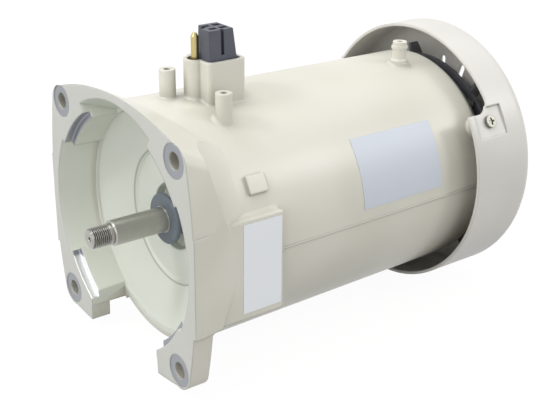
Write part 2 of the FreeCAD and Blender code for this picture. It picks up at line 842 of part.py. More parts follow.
    # Holes in the posts, the hub, the rear edge and the cover lugs
    for side in ("left", "right"):
        hole = round_hole(
            level(body, f"{side}_post_top_z"), f"{side}_post_x", f"{side}_post_y", "post_hole_radius"
        )
        cut(body, hole, "post_hole_depth")
    hole = round_hole(
        across(body, FRONT_BEARING_REAR), "0", RETAINER_SCREW_CIRCLE, "retainer_screw_radius + seat_gap"
    )
    first = cut(body, hole, "retainer_screw_length", back=True)
    repeat(body, [first], "3")
    hole = round_hole(
        across(body, "barrel_length"), BELL_SCREW_X, BELL_SCREW_X, "bell_screw_radius + seat_gap"
    )
    first = cut(body, hole, "bell_screw_length", back=True)
    repeat(body, [first], "4")
    for angle, flat, _ in COVER_LUGS:
        face = f"{flat} - cover_flat_wall"
        hole = round_hole(
            facing(body, angle, face), "0", "cover_screw_y", "cover_screw_radius + seat_gap"
        )
        cut(body, hole, "cover_screw_length")


def round_housing(body):
    """Rounds the casting's outer edges and blends the hood, the posts and the tower into it."""

    def along(test):
        """Edges of which every sampled point passes the test."""
        def wanted(edge):
            first, last = edge.FirstParameter, edge.LastParameter
            spots = [edge.valueAt(first + (last - first) * part) for part in (0.02, 0.5, 0.98)]
            return edge.Length > 0.05 and all(test(spot, math.hypot(spot.x, spot.z)) for spot in spots)
        return wanted

    def foot(x, y, reach, top):
        """Where a round post meets the barrel."""
        return along(lambda spot, radius: (
            math.hypot(spot.x - amount(x), spot.y - amount(y)) < amount(reach) + 0.1
            and radius < amount("barrel_front_radius")
            and spot.z < amount(top) - 0.1
        ))

    def crease(edge):
        """Where the hood's top runs out on the barrel."""
        return edge.Curve.TypeId != "Part::GeomCircle" and along(lambda spot, radius: (
            amount("crown_front_y") < spot.y < amount("hood_depth")
            and 73.0 < radius < 78.5
            and spot.z > 50.0
            and not (abs(spot.x) < 12.0 and spot.y > 30.0)
        ))(edge)

    pad_rear = amount("pad_length")
    round_off(body, "hood_blend", crease)
    for side in ("left", "right"):
        post = foot(f"{side}_post_x", f"{side}_post_y", "post_radius", f"{side}_post_top_z")
        round_off(body, f"{side}_post_blend", post)
    round_off(body, "seat_blend", foot("rear_post_x", "rear_post_y", "rear_seat_radius", "rear_seat_z"))
    round_off(body, "tower_blend", along(lambda spot, radius: (
        -5.5 < spot.x < 22.5 and 46.0 < spot.y < 80.5 and spot.z > 0 and 70.0 < radius < 77.5
    )))
    round_off(body, "pad_blend", along(lambda spot, radius: (
        near(spot.z, "pad_top_z") and radius < 77.4 and 36.0 < spot.y < pad_rear + 0.1
    )))
    round_off(body, "lug_blend", along(lambda spot, radius: (
        near(spot.y, "cover_screw_y", 6.1) and radius < 74.6 and spot.y < amount("cover_screw_y") + 1.3
    )))


def cross_recess(body, made, size, depth):
    """Cross-shaped driver recess cut against the sketch's normal."""
    half = f"({size} / 2)"
    arm = f"({size} / 7)"
    corners = [
        (arm, f"-{half}"), (arm, f"-{arm}"), (half, f"-{arm}"), (half, arm), (arm, arm), (arm, half),
        (f"-{arm}", half), (f"-{arm}", arm), (f"-{half}", arm), (f"-{half}", f"-{arm}"),
        (f"-{arm}", f"-{arm}"), (f"-{arm}", f"-{half}"),
    ]
    return cut(body, draw(made, corners), depth)


def rear_end_bell():
    """Closes the barrel's rear end and carries the rear bearing."""
    body = piece("rear_end_bell")
    hub_front = "(rear_bearing_front_y - 2)"
    seat_radius = "(rear_bearing_radius + seat_gap)"
    turn(body, [
        ("bell_hole_radius", BELL_SEAT_Y),
        (seat_radius, BELL_SEAT_Y),
        (seat_radius, hub_front),
        ("bell_hub_radius", hub_front),
        ("bell_hub_radius + 1.5", "barrel_length - 1"),
        ("stator_radius - bell_spigot_wall", "barrel_length - 1"),
        ("stator_radius - bell_spigot_wall", "barrel_length - bell_spigot"),
        ("stator_radius", "barrel_length - bell_spigot"),
        ("stator_radius", "barrel_length"),
        ("bell_radius", "barrel_length"),
        ("bell_radius", f"{BELL_REAR} - 1"),
        ("bell_radius - 1", BELL_REAR),
        ("bell_hole_radius", BELL_REAR),
    ])
    half = "bell_rib_width / 2"
    rib = box_outline(across(body, BELL_REAR), "bell_hub_radius", "stator_radius - 2", f"-{half}", half)
    rib = grow(body, rib, "bell_rib_height", back=True)
    repeat(body, [rib], "bell_ribs")
    hole = round_hole(across(body, BELL_REAR), BELL_SCREW_X, BELL_SCREW_X, "bell_screw_radius + screw_gap")
    first = cut(body, hole, "bell_thickness + bell_spigot", back=True)
    repeat(body, [first], "4")


def end_bell_screws():
    """Four pan-head screws through the end bell."""
    body = piece("end_bell_screws", separate=True)
    at = (BELL_SCREW_X, BELL_SCREW_X)
    head = round_hole(across(body, BELL_REAR), *at, "bell_screw_head_radius")
    head = grow(body, head, "bell_screw_head_height", back=True)
    shank = grow(
        body,
        round_hole(across(body, BELL_REAR), *at, "bell_screw_radius"),
        "bell_thickness + bell_screw_length - 1",
    )
    recess = sketch(
        body, "XZ_Plane", f"-({BELL_REAR} + bell_screw_head_height)", *at
    )
    recess = cross_recess(body, recess, "bell_screw_head_radius", "bell_screw_head_height * 0.6")
    recess.Reversed = True
    repeat(body, [head, shank, recess], "4")


def fan_cover():
    """Round cover over the fan, with an air grille behind and a cut-out over the top at the front."""
    body = piece("fan_cover")
    inner = "(cover_radius - cover_wall)"
    inner_round = "(cover_round - cover_wall)"
    wide = sketch(body, "XY_Plane", "cover_rise")
    draw(wide, [
        ("0", "cover_rear_y - cover_wall"),
        (f"{inner} - {inner_round}", "cover_rear_y - cover_wall", f"-{inner_round}"),
        (inner, "cover_rear_y - cover_round"),
        (inner, "cover_front_y"),
        ("cover_radius", "cover_front_y"),
        ("cover_radius", "cover_rear_y - cover_round", "cover_round"),
        ("cover_radius - cover_round", "cover_rear_y"),
        ("0", "cover_rear_y"),
    ])
    revolve(body, wide)

    # Sunk flats for the three screws
    for angle, flat, join in COVER_LUGS:
        inside = box_outline(
            facing(body, angle, f"{flat} - cover_flat_wall"),
            "-(cover_flat_width / 2 + 1)",
            "cover_flat_width / 2 + 1",
            "cover_screw_y - cover_flat_length / 2 - 1",
            "cover_screw_y + cover_flat_length / 2 + 1",
        )
        grow(body, inside, f"cover_flat_wall + {join}")
        outside = box_outline(
            facing(body, angle, flat),
            "-cover_flat_width / 2",
            "cover_flat_width / 2",
            "cover_screw_y - cover_flat_length / 2",
            "cover_screw_y + cover_flat_length / 2",
        )
        cut(body, outside, "cover_round", back=True)

    # Cut-out over the top
    opening = sector(
        across(body, "cover_front_y"), "stator_radius", "cover_radius + 2 * cover_rise",
        "cover_cut_angle", "180 - cover_cut_angle",
    )
    cut(body, opening, "cover_cut_y - cover_front_y")

    def corner(edge):
        """The four corners of the cut-out, which run through the cover's wall."""
        spots = [vertex.Point for vertex in edge.Vertexes]
        return (
            len(spots) == 2
            and all(near(spot.y, "cover_cut_y") for spot in spots)
            and all(
                near(abs(math.degrees(math.atan2(spot.z, abs(spot.x)))), "cover_cut_angle")
                for spot in spots
            )
        )

    round_off(body, "cover_cut_round", corner)
    for angle, flat, _ in COVER_LUGS:
        hole = round_hole(facing(body, angle, flat), "0", "cover_screw_y", "cover_screw_radius + screw_gap")
        cut(body, hole, "cover_flat_wall + 1")

    # Air grille: slots with round ends
    half = "(grille_slot_width / 2)"
    slot = draw(across(body, "cover_rear_y", "cover_rise"), [
        ("grille_inner_radius", f"-{half}"),
        ("grille_outer_radius", f"-{half}", "grille_end_radius"),
        ("grille_outer_radius", half),
        ("grille_inner_radius", half, "grille_end_radius"),
    ])
    first = cut(body, slot, "cover_wall + 1", back=True)
    repeat(body, [first], "grille_slots", axis=(slot, ["N_Axis"]))


def fan_cover_screws():
    """Three screws that hold the fan cover to the barrel's lugs."""
    body = piece("fan_cover_screws", separate=True)
    for angle, flat, _ in COVER_LUGS:
        grow(
            body,
            round_hole(facing(body, angle, flat), "0", "cover_screw_y", "cover_screw_head_radius"),
            "cover_screw_head_height",
        )
        grow(
            body,
            round_hole(facing(body, angle, flat), "0", "cover_screw_y", "cover_screw_radius"),
            "cover_flat_wall + cover_screw_length - 0.5",
            back=True,
        )
        top = facing(body, angle, f"({flat} + cover_screw_head_height)")
        bind(top, "AttachmentOffset.Base.y", "cover_screw_y")
        cross_recess(body, top, "cover_screw_head_radius * 1.1", "cover_screw_head_height * 0.6")


def stator_core():
    """Laminated ring with semi-closed slots."""
    body = piece("stator_core")
    turn(body, [
        (STATOR_BORE, "core_front_y"),
        ("stator_radius", "core_front_y"),
        ("stator_radius", "core_rear_y"),
        (STATOR_BORE, "core_rear_y"),
    ])
    tip = f"({STATOR_BORE} + tooth_tip)"
    half = "(slot_angle / 2)"
    slot = draw(across(body, "core_front_y"), [
        (f"{STATOR_BORE} - 1", "-slot_mouth / 2"),
        (tip, "-slot_mouth / 2"),
        (f"({SLOT_INNER}) * cos({half})", f"-({SLOT_INNER}) * sin({half})"),
        (f"slot_bottom_radius * cos({half})", f"-slot_bottom_radius * sin({half})", "slot_bottom_radius"),
        (f"slot_bottom_radius * cos({half})", f"slot_bottom_radius * sin({half})"),
        (f"({SLOT_INNER}) * cos({half})", f"({SLOT_INNER}) * sin({half})"),
        (tip, "slot_mouth / 2"),
        (f"{STATOR_BORE} - 1", "slot_mouth / 2"),
    ])
    first = cut(body, slot, "core_rear_y - core_front_y")
    repeat(body, [first], "slots")


def stator_windings():
    """Copper coils: a bar in each slot and a rounded ring of end turns at either end."""
    body = piece("stator_windings", separate=True)
    reach = "(end_turn_gap + end_turn_length)"
    for front in (f"(core_front_y - {reach})", "(core_rear_y + end_turn_gap)"):
        rear = f"({front} + end_turn_length)"
        turn(body, [
            ("end_turn_inner_radius + end_turn_round", front),
            ("end_turn_outer_radius - end_turn_round", front, "end_turn_round"),
            ("end_turn_outer_radius", f"{front} + end_turn_round"),
            ("end_turn_outer_radius", f"{rear} - end_turn_round", "end_turn_round"),
            ("end_turn_outer_radius - end_turn_round", rear),
            ("end_turn_inner_radius + end_turn_round", rear, "end_turn_round"),
            ("end_turn_inner_radius", f"{rear} - end_turn_round"),
            ("end_turn_inner_radius", f"{front} + end_turn_round", "end_turn_round"),
        ])
    side = "(slot_angle / 2 - 2 * slot_liner)"
    bar = sector(
        across(body, "core_front_y - end_turn_gap - end_turn_length / 2"),
        f"{SLOT_INNER} + slot_liner",
        "slot_bottom_radius - slot_liner",
        f"-{side}",
        side,
    )
    first = grow(
        body, bar, "core_rear_y - core_front_y + 2 * end_turn_gap + end_turn_length", back=True
    )
    repeat(body, [first], "slots")


def bearing(end, front):
    """Races, balls and cage of the ball bearing at one end, whose front face is at a length."""
    size = f"{end}_bearing"
    rear = f"({front} + {size}_width)"
    middle = f"({front} + {size}_width / 2)"
    pitch = f"(({size}_bore + {size}_radius) / 2)"
    groove = f"({end}_ball_radius + race_ball_gap)"
    reach = f"({groove} - race_shoulder)"
    half = f"(sqrt({groove} ^ 2 - {reach} ^ 2))"

    body = piece(f"{size}_outer_race")
    turn(body, [
        (f"{pitch} + {reach}", front),
        (f"{size}_radius - race_shoulder", front),
        (f"{size}_radius", f"{front} + race_shoulder"),
        (f"{size}_radius", f"{rear} - race_shoulder"),
        (f"{size}_radius - race_shoulder", rear),
        (f"{pitch} + {reach}", rear),
        (f"{pitch} + {reach}", f"{middle} + {half}", f"-{groove}"),
        (f"{pitch} + {reach}", f"{middle} - {half}"),
    ])

    body = piece(f"{size}_inner_race")
    turn(body, [
        (f"{size}_bore", front),
        (f"{pitch} - {reach}", front),
        (f"{pitch} - {reach}", f"{middle} - {half}", f"-{groove}"),
        (f"{pitch} - {reach}", f"{middle} + {half}"),
        (f"{pitch} - {reach}", rear),
        (f"{size}_bore", rear),
    ])

    body = piece(f"{size}_balls", separate=True)
    ball = feature(body, "AdditiveSphere")
    bind(ball, "Radius", f"{end}_ball_radius")
    bind(ball, "Placement.Base.x", pitch)
    bind(ball, "Placement.Base.y", middle)
    repeat(body, [ball], "balls")

    body = piece(f"{size}_cage")
    half_width = f"({end}_ball_radius + cage_margin)"
    turn(body, [
        (f"{pitch} - cage_thickness / 2", f"{middle} - {half_width}"),
        (f"{pitch} + cage_thickness / 2", f"{middle} - {half_width}"),
        (f"{pitch} + cage_thickness / 2", f"{middle} + {half_width}"),
        (f"{pitch} - cage_thickness / 2", f"{middle} + {half_width}"),
    ])
    hole = round_hole(
        facing(body, "0", f"({size}_radius)"), "0", middle, f"{end}_ball_radius + running_gap"
    )
    first = cut(body, hole, f"{size}_radius - {size}_bore")
    repeat(body, [first], "balls")


def front_bearing():
    bearing("front", SEAL_REAR)


def rear_bearing():
    bearing("rear", "rear_bearing_front_y")


def front_bearing_retainer():
    """Flat ring that holds the front bearing in the hub."""
    body = piece("front_bearing_retainer")
    turn(body, [
        ("front_bearing_radius - retainer_overlap", FRONT_BEARING_REAR),
        (HUB_RADIUS, FRONT_BEARING_REAR),
        (HUB_RADIUS, RETAINER_REAR),
        ("front_bearing_radius - retainer_overlap", RETAINER_REAR),
    ])
    hole = round_hole(
        across(body, RETAINER_REAR), "0", RETAINER_SCREW_CIRCLE, "retainer_screw_radius + screw_gap"
    )
    first = cut(body, hole, "retainer_thickness + 1", back=True)
    repeat(body, [first], "3")


def bearing_retainer_screws():
    """Three screws through the retainer."""
    body = piece("bearing_retainer_screws", separate=True)
    at = ("0", RETAINER_SCREW_CIRCLE)
    head = grow(
        body,
        round_hole(across(body, RETAINER_REAR), *at, "retainer_screw_head_radius"),
        "retainer_screw_head_height",
        back=True,
    )
    shank = grow(
        body,
        round_hole(across(body, RETAINER_REAR), *at, "retainer_screw_radius"),
        "retainer_thickness + retainer_screw_length - 0.5",
    )
    recess = sketch(body, "XZ_Plane", f"-({RETAINER_REAR} + retainer_screw_head_height)", *at)
    recess = cross_recess(body, recess, "retainer_screw_head_radius", "retainer_screw_head_height * 0.6")
    recess.Reversed = True
    repeat(body, [head, shank, recess], "3")


def front_shaft_seal():
    """Lip seal between the hub and the shaft."""
    body = piece("front_shaft_seal")
    front = "hub_recess_floor_y"
    lip = "(shaft_seal_radius + running_gap)"
    turn(body, [
        ("seal_radius", front),
        ("seal_radius", SEAL_REAR),
        ("seal_radius - 1.2", SEAL_REAR),
        ("seal_radius - 1.2", f"{front} + 1.2"),
        (f"{lip} + 1.6", f"{front} + 1.2"),
        (f"{lip} + 1.2", f"{SEAL_REAR} - 0.5"),
        (lip, f"{SEAL_REAR} - 1"),
        (lip, f"{SEAL_REAR} - 1.8"),
        (f"{lip} + 0.6", front),
    ])


def rear_wave_spring():
    """Wavy steel ring that preloads the rear bearing's outer race."""
    spring = doc.addObject("Part::Feature", "rear_wave_spring")
    spring.Label = "rear_wave_spring"
    thickness = amount("wave_spring_thickness")
    swing = amount("(wave_spring_space - wave_spring_thickness) / 2 - seat_gap")
    middle = amount(f"{REAR_BEARING_REAR} + wave_spring_space / 2")
    waves = SIZES["waves"]
    steps = 16 * waves
    rims = {}
    for name in ("inner", "outer"):
        radius = amount(f"wave_spring_{name}_radius")
        for face in (-1, 1):
            points = []
            for step in range(steps):
                turned = 2.0 * math.pi * step / steps
                height = middle + swing * math.cos(waves * turned) + face * thickness / 2.0
                points.append(
                    FreeCAD.Vector(radius * math.cos(turned), height, radius * math.sin(turned))
                )
            curve = Part.BSplineCurve()
            curve.interpolate(points, PeriodicFlag=True)
            rims[name, face] = curve.toShape()
    faces = [
        Part.makeRuledSurface(rims["inner", -1], rims["outer", -1]),
        Part.makeRuledSurface(rims["outer", -1], rims["outer", 1]),
        Part.makeRuledSurface(rims["outer", 1], rims["inner", 1]),
        Part.makeRuledSurface(rims["inner", 1], rims["inner", -1]),
    ]
    shell = Part.makeShell(faces)
    shell.sewShape()
    spring.Shape = Part.makeSolid(shell)
    pieces.append(spring)


def connector_body():
    """Plastic connector housing that stands in the tower, with a corner left free for the pin."""
    body = piece("connector_body")
    base = box_outline(
        level(body, "tower_floor_z"),
        "connector_left_x", "connector_right_x", "connector_front_y", "connector_rear_y",
    )
    top = box_outline(
        level(body, "connector_top_z"),
        "connector_top_left_x", "connector_top_right_x", "connector_top_front_y", "connector_top_rear_y",
    )
    loft = feature(body, "AdditiveLoft")
    loft.Profile = base
    loft.Sections = [top]
    loft.Ruled = True
    height = "(connector_top_z - tower_floor_z)"
    notch = box_outline(
        level(body, "connector_top_z"), "connector_left_x - 1", "connector_notch_x",
        "connector_front_y - 1", "connector_notch_y",
    )
    cut(body, notch, height)
    slot = box_outline(
        level(body, "connector_top_z"),
        "connector_top_right_x - connector_slot_depth",
        "connector_right_x + 1",
        "connector_slot_y - connector_slot_width / 2",
        "connector_slot_y + connector_slot_width / 2",
    )
    cut(body, slot, "connector_slot_height")
    for x, y in SOCKETS:
        socket = box_outline(
            level(body, "connector_top_z"),
            f"{x} - socket_width / 2", f"{x} + socket_width / 2",
            f"{y} - socket_length / 2", f"{y} + socket_length / 2",
        )
        cut(body, socket, "socket_depth")
        through = box_outline(
            level(body, "connector_top_z"),
            f"{x} - terminal_thickness / 2 - seat_gap", f"{x} + terminal_thickness / 2 + seat_gap",
            f"{y} - terminal_length / 2 - seat_gap", f"{y} + terminal_length / 2 + seat_gap",
        )
        cut(body, through, height)


def connector_terminals():
    """Four blade terminals, one in each socket."""
    body = piece("connector_terminals", separate=True)
    for x, y in SOCKETS:
        blade = box_outline(
            level(body, "tower_floor_z + 1"),
            f"{x} - terminal_thickness / 2", f"{x} + terminal_thickness / 2",
            f"{y} - terminal_length / 2", f"{y} + terminal_length / 2",
        )
        grow(body, blade, "connector_top_z - tower_floor_z - 1 - socket_depth + terminal_height")


def ground_pin():
    """Brass earth pin with a collar on the tower's floor and a stud below it."""
    body = piece("ground_pin")
    made = draw(sketch(body, "XZ_Plane", "-pin_y", "pin_x"), [
        ("0", "tower_floor_z - pin_stud_length + 0.5"),
        ("pin_stud_radius", "tower_floor_z - pin_stud_length + 0.5"),
        ("pin_stud_radius", "tower_floor_z"),
        ("pin_collar_radius", "tower_floor_z"),
        ("pin_collar_radius", "tower_floor_z + pin_collar_height"),
        ("pin_radius", "tower_floor_z + pin_collar_height"),
        ("pin_radius", "pin_top_z - pin_tip"),
        ("pin_radius * 0.5", "pin_top_z"),
        ("0", "pin_top_z"),
    ])
    revolve(body, made)


def rear_standoff():
    """Pale plastic sleeve over the housing's stub, near the rear of the barrel."""
    body = piece("rear_standoff")
    ring_top = "(rear_post_top_z - rear_sleeve_ring_drop)"
    ring_bottom = f"({ring_top} - rear_sleeve_ring_height)"
    stub_top = "(rear_seat_z + rear_stub_height)"
    made = draw(sketch(body, "XZ_Plane", "-rear_post_y", "rear_post_x"), [
        ("rear_stub_radius + seat_gap", "rear_seat_z"),
        ("rear_sleeve_ring_radius", "rear_seat_z"),
        ("rear_sleeve_ring_radius", "rear_seat_z + 1.2"),
        ("rear_sleeve_radius", "rear_seat_z + 2.4"),
        ("rear_sleeve_radius", ring_bottom),
        ("rear_sleeve_ring_radius", ring_bottom),
        ("rear_sleeve_ring_radius", ring_top),
        ("rear_sleeve_radius", ring_top),
        ("rear_sleeve_radius", "rear_post_top_z"),
        ("rear_sleeve_bore", "rear_post_top_z"),
        ("rear_sleeve_bore", f"{stub_top} + seat_gap"),
        ("rear_stub_radius + seat_gap", f"{stub_top} + seat_gap"),
    ])
    revolve(body, made)


def rating_label():
    """Blank label on the barrel's side, which follows its taper."""
    body = piece("rating_label")
    made = sketch(body, "XY_Plane")
    tilt = FreeCAD.Rotation(FreeCAD.Vector(0, 1, 0), -20)
    made.AttachmentOffset = FreeCAD.Placement(FreeCAD.Vector(), tilt)
    bind(made, "AttachmentOffset.Rotation.Angle", "-(rating_label_low_angle + rating_label_high_angle) / 2")
    rear = "(rating_label_front_y + rating_label_length)"
    draw(made, [
        (f"{barrel_radius('rating_label_front_y')} + seat_gap", "rating_label_front_y"),
        (f"{barrel_radius('rating_label_front_y')} + label_thickness", "rating_label_front_y"),
        (f"{barrel_radius(rear)} + label_thickness", rear),
        (f"{barrel_radius(rear)} + seat_gap", rear),
    ])
    revolve(body, made, "rating_label_high_angle - rating_label_low_angle", both=True)


def side_label():
    """Blank label on the side pad."""
    body = piece("side_label")
    made = box_outline(
        sketch(body, "YZ_Plane", "pad_x + seat_gap"),
        "side_label_front_y", "side_label_front_y + side_label_length",
        "side_label_bottom_z", "side_label_top_z",
    )
    grow(body, made, "label_thickness")


def shaft():
    """Stepped shaft with a threaded front end and a ring groove behind the fan."""
    body = piece("shaft")
    relief_front = "(thread_shoulder_y - thread_relief)"
    core_front = "(core_front_y - end_plate)"
    core_rear = "(core_rear_y + end_plate)"
    groove_radius = "(fan_seat_radius - fan_ring_groove)"
    turn(body, [
        ("0", "shaft_end_y"),
        ("thread_radius - shaft_chamfer", "shaft_end_y"),
        ("thread_radius", "shaft_end_y + shaft_chamfer"),
        ("thread_radius", relief_front),
        ("thread_radius - thread_relief_depth", relief_front),
        ("thread_radius - thread_relief_depth", "thread_shoulder_y"),
        ("shaft_radius - shaft_chamfer", "thread_shoulder_y"),
        ("shaft_radius", "thread_shoulder_y + shaft_chamfer"),
        ("shaft_radius", JOURNAL_REAR),
        ("shaft_seal_radius", JOURNAL_REAR),
        ("shaft_seal_radius", SEAL_REAR),
        ("front_bearing_bore - seat_gap", SEAL_REAR),
        ("front_bearing_bore - seat_gap", FRONT_BEARING_REAR),
        ("shaft_collar_radius", FRONT_BEARING_REAR),
        ("shaft_collar_radius", f"{FRONT_BEARING_REAR} + shaft_collar_length"),
        ("rotor_seat_radius", f"{FRONT_BEARING_REAR} + shaft_collar_length"),
        ("rotor_seat_radius", core_rear),
        ("shaft_neck_radius", core_rear),
        ("shaft_neck_radius", "rear_bearing_front_y"),
        ("rear_bearing_bore - seat_gap", "rear_bearing_front_y"),
        ("rear_bearing_bore - seat_gap", "fan_front_y"),
        ("fan_seat_radius", "fan_front_y"),
        ("fan_seat_radius", FAN_HUB_REAR),
        (groove_radius, FAN_HUB_REAR),
        (groove_radius, f"{FAN_HUB_REAR} + fan_ring_width"),
        ("fan_seat_radius", f"{FAN_HUB_REAR} + fan_ring_width"),
        ("fan_seat_radius", SHAFT_REAR_Y),
        ("0", SHAFT_REAR_Y),
    ])


def rotor_core():
    """Laminated rotor core on the shaft, with a circle of lightening holes."""
    body = piece("rotor_core")
    turn(body, [
        ("rotor_seat_radius + seat_gap", "core_front_y"),
        ("rotor_core_radius", "core_front_y"),
        ("rotor_core_radius", "core_rear_y"),
        ("rotor_seat_radius + seat_gap", "core_rear_y"),
    ])
    hole = round_hole(across(body, "core_front_y"), "rotor_hole_circle", "0", "rotor_hole_radius")
    first = cut(body, hole, "core_rear_y - core_front_y")
    repeat(body, [first], "rotor_holes")


def rotor_end_plates():
    """Ring at either end of the rotor core."""
    body = piece("rotor_end_plates", separate=True)
    for front in ("(core_front_y - end_plate)", "core_rear_y"):
        turn(body, [
            ("rotor_seat_radius + seat_gap", front),
            (MAGNET_RADIUS, front),
            (MAGNET_RADIUS, f"{front} + end_plate"),
            ("rotor_seat_radius + seat_gap", f"{front} + end_plate"),
        ])


def rotor_magnets():
    """Eight curved magnets on the rotor core."""
    body = piece("rotor_magnets", separate=True)
    magnet = sector(
        across(body, "core_front_y"), "rotor_core_radius + seat_gap", MAGNET_RADIUS,
        "-magnet_angle / 2", "magnet_angle / 2",
    )
    first = grow(body, magnet, "core_rear_y - core_front_y", back=True)
    repeat(body, [first], "magnets")


def shaft_slinger():
    """Rubber disc on the shaft that throws water off before it reaches the hub."""
    body = piece("shaft_slinger")
    rim_rear = "(slinger_front_y + slinger_rim)"
    turn(body, [
        ("shaft_seal_radius + seat_gap", "slinger_front_y"),
        ("slinger_radius - slinger_round", "slinger_front_y", "slinger_round"),
        ("slinger_radius", "slinger_front_y + slinger_round"),
        ("slinger_radius", f"{rim_rear} - slinger_round", "slinger_round"),
        ("slinger_radius - slinger_round", rim_rear),
        ("slinger_hub_radius", rim_rear),
        ("slinger_hub_radius", "slinger_front_y + slinger_length"),
        ("shaft_seal_radius + seat_gap", "slinger_front_y + slinger_length"),
    ])


def fan():
    """Plastic fan: hub, plate and straight blades that work in either direction."""
    body = piece("fan")
    plate_rear = "(fan_front_y + fan_plate)"
    blade_rear = f"({plate_rear} + fan_blade_depth)"
    turn(body, [
        ("fan_seat_radius + seat_gap", "fan_front_y"),
        ("fan_plate_radius", "fan_front_y"),
        ("fan_plate_radius", plate_rear),
        ("fan_hub_radius + 2", plate_rear),
        ("fan_hub_radius", FAN_HUB_REAR),
        ("fan_seat_radius + seat_gap", FAN_HUB_REAR),
    ])
    blade = draw(sketch(body, "XY_Plane"), [
        ("fan_hub_radius - 1", "fan_front_y"),
        ("fan_radius", "fan_front_y"),
        ("fan_radius", f"{blade_rear} - fan_blade_bevel_depth"),
        ("fan_radius - fan_blade_bevel_width", blade_rear),
        ("fan_hub_radius - 1", f"{blade_rear} - fan_blade_bevel_depth"),
    ])
    first = grow(body, blade, "fan_blade_thickness", both=True)
    repeat(body, [first], "fan_blades")


def fan_retaining_ring():
    """Open spring ring in the shaft's groove behind the fan."""
    body = piece("fan_retaining_ring")
    inner = "(fan_seat_radius - fan_ring_groove + seat_gap)"
    rear = f"({FAN_HUB_REAR} + fan_ring_width - seat_gap)"
    turn(body, [
        (inner, f"{FAN_HUB_REAR} + seat_gap"),
        ("fan_ring_radius", f"{FAN_HUB_REAR} + seat_gap"),
        ("fan_ring_radius", rear),
        (inner, rear),
    ], "fan_ring_angle")


BUILDERS = [
    motor_housing,
    rear_end_bell,
    end_bell_screws,
    fan_cover,
    fan_cover_screws,
    stator_core,
    stator_windings,
    front_bearing,
    rear_bearing,
    front_bearing_retainer,
    bearing_retainer_screws,
    front_shaft_seal,
    rear_wave_spring,
    connector_body,
    connector_terminals,
    ground_pin,
    rear_standoff,
    rating_label,
    side_label,
    shaft,
    rotor_core,
    rotor_end_plates,
    rotor_magnets,
    shaft_slinger,
    fan,
    fan_retaining_ring,
]

for builder in BUILDERS:
    builder()
for body in pieces:
    if hasattr(body, "Tip"):
        body.Tip.Refine = True
doc.recompute()

for item in doc.Objects:
    if "Invalid" in item.State or "Error" in item.State:
        raise RuntimeError(f"{item.Label} failed: {item.State} {item.getStatusString()}")
os.makedirs("parts", exist_ok=True)
for body in pieces:
    shape = body.Shape
    if shape.isNull() or not shape.isValid():
        raise RuntimeError(f"{body.Label} has no valid shape")
for body in pieces:
    body.Shape.exportStep(f"parts/{body.Label}.step")
    print(body.Label, len(body.Shape.Solids), round(body.Shape.Volume, 1))
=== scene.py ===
import math

import bpy
from mathutils import Matrix, Vector


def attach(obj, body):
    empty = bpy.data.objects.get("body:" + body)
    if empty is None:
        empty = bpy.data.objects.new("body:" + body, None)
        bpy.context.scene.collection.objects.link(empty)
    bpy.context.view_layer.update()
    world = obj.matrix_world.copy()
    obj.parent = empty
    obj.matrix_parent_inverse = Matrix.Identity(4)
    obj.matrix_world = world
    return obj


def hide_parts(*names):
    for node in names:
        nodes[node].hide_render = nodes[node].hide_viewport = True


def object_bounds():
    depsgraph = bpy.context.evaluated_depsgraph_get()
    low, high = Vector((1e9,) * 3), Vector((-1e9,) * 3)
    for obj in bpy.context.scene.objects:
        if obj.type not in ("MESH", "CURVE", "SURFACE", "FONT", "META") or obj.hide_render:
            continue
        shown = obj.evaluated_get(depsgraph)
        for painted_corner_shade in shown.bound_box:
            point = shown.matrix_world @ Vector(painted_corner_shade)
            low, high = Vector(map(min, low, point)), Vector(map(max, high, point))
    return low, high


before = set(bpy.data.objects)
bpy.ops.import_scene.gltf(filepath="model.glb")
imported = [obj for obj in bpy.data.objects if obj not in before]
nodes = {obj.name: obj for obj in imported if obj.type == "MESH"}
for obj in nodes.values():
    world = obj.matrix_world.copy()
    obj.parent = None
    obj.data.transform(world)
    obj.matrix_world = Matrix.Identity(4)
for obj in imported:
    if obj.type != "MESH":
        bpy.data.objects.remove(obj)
cad_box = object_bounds()


# Camera: a long lens to the right of the shaft's end and a little above the motor. Its place and
# turn are those that put the flange holes, the barrel and the shaft where the photograph has them.
camera_place = Vector((0.5364, -0.2902, 0.2747))
camera_azimuth, camera_elevation, camera_roll = 52.57, 22.94, 0.672
camera_data = bpy.data.cameras.new("camera")
camera_data.sensor_fit = "HORIZONTAL"
camera_data.sensor_width = 36.0
camera_data.lens = 71.35
camera = bpy.data.objects.new("camera", camera_data)
bpy.context.scene.collection.objects.link(camera)
camera.matrix_world = (
    Matrix.Translation(camera_place)
    @ Matrix.Rotation(math.radians(camera_azimuth), 4, "Z")
    @ Matrix.Rotation(math.radians(90.0 - camera_elevation), 4, "X")
    @ Matrix.Rotation(math.radians(camera_roll), 4, "Z")
)
bpy.context.scene.camera = camera


# Floor: a wide pale sheet under the motor, which stands on its front legs and its fan cover. It
# shows white to the camera and keeps a soft shadow.
def linear(hex_colour):
    """Linear RGBA of an sRGB hex colour."""
    parts = [int(hex_colour[i:i + 2], 16) / 255.0 for i in (1, 3, 5)]
    return tuple(c / 12.92 if c <= 0.04045 else ((c + 0.055) / 1.055) ** 2.4 for c in parts) + (1.0,)


def new_material(name):
    """An empty node material and its node tree."""
    material = bpy.data.materials.new(name)
    material.use_nodes = True
    material.node_tree.nodes.clear()
    return material, material.node_tree


def add_node(tree, kind, values=None, links=None, **settings):
    """Adds a node with its settings, its sockets' values and the links that feed it."""
    made = tree.nodes.new(kind)
    for name, value in settings.items():
        setattr(made, name, value)
    for socket, value in (values or {}).items():
        made.inputs[socket].default_value = value
    for socket, source in (links or {}).items():
        tree.links.new(source, made.inputs[socket])
    return made


